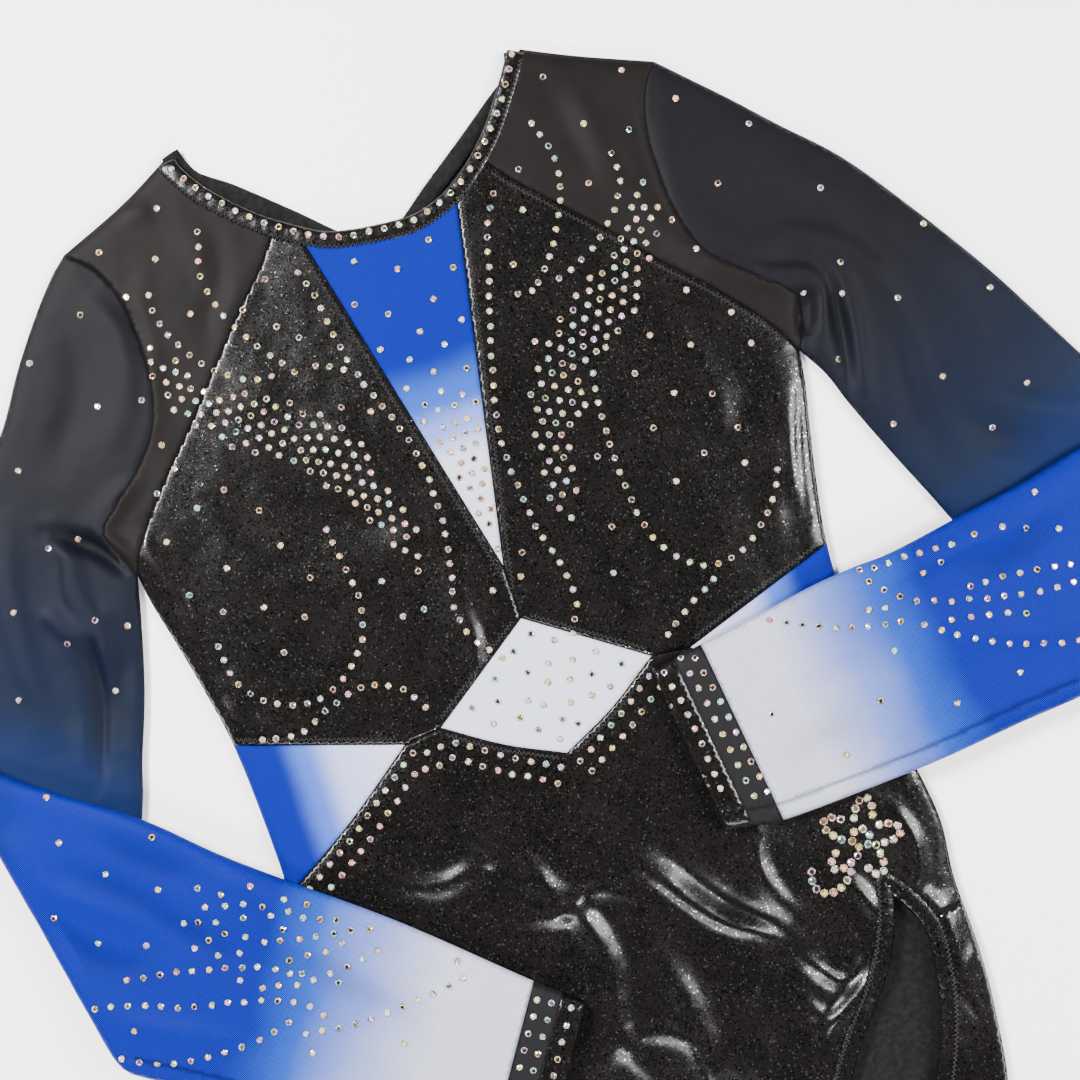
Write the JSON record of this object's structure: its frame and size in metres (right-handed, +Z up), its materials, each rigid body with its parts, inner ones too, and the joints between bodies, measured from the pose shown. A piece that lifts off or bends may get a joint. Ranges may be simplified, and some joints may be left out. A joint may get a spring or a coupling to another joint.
{
  "type": "gymnastics leotard",
  "caption": "Long-sleeved gymnastics leotard lying flat with its forearms folded on the front: panelled stretch body, bound neck and legs, cuffed sleeves.",
  "frame": {"origin": "on the table under the centre of the waist, on the flat underside of the back bodice panel", "axes": "+Y up the body from the crotch to the neck, +X towards the wearer's left arm, +Z up off the table, out of the garment's front"},
  "size_m": [0.5643, 0.5842, 0.0164],
  "materials": {
    "foil": "black stretch tricot printed with sparkling foil specks",
    "tricot": "matte charcoal stretch tricot",
    "blue_insert": "matte tricot, royal blue at the neck fading to white at the tip",
    "white_insert": "matte white tricot",
    "side_insert": "matte tricot, blue at the side fading to white at the inner tip",
    "dark_mesh": "fine sheer stretch mesh, charcoal fading to navy",
    "blue_mesh": "fine sheer stretch mesh, royal blue fading to white at the cuff",
    "elastic": "matte woven elastic",
    "lining": "matte black lining tricot"
  },
  "bodies": {
    "torso": {"centre_v_insert": "blue_insert", "waist_diamond": "white_insert", "brief_front": "foil", "bodice_back": "foil", "brief_back": "foil", "crotch_lining": "lining", "neck_binding": "foil", "neck_elastic": "elastic", "front_yoke_right": "tricot", "front_yoke_left": "tricot", "back_yoke_right": "tricot", "back_yoke_left": "tricot", "bodice_front_right": "foil", "bodice_front_left": "foil", "waist_insert_front_right": "side_insert", "waist_insert_front_left": "side_insert", "waist_insert_back_right": "side_insert", "waist_insert_back_left": "side_insert", "leg_binding_right": "foil", "leg_binding_left": "foil", "leg_elastic_right": "elastic", "leg_elastic_left": "elastic", "sleeve_upper_right": "dark_mesh", "sleeve_upper_left": "dark_mesh"},
    "forearm_right": {"sleeve_lower_right": "blue_mesh", "cuff_mesh_right": "dark_mesh", "cuff_band_right": "foil"},
    "forearm_left": {"sleeve_lower_left": "blue_mesh", "cuff_mesh_left": "dark_mesh", "cuff_band_left": "foil"}
  },
  "joints": [
    {"name": "right_sleeve_fold", "type": "hinge", "parent": "torso", "child": "forearm_right", "pos_m": [-0.25175, -0.0145, 0.0082], "axis": [0.1832, -0.9831, 0], "range_deg": [0, 179]},
    {"name": "left_sleeve_fold", "type": "hinge", "parent": "torso", "child": "forearm_left", "pos_m": [0.265, -0.024, 0.0082], "axis": [0.5029, 0.8643, 0], "range_deg": [0, 179]}
  ]
}
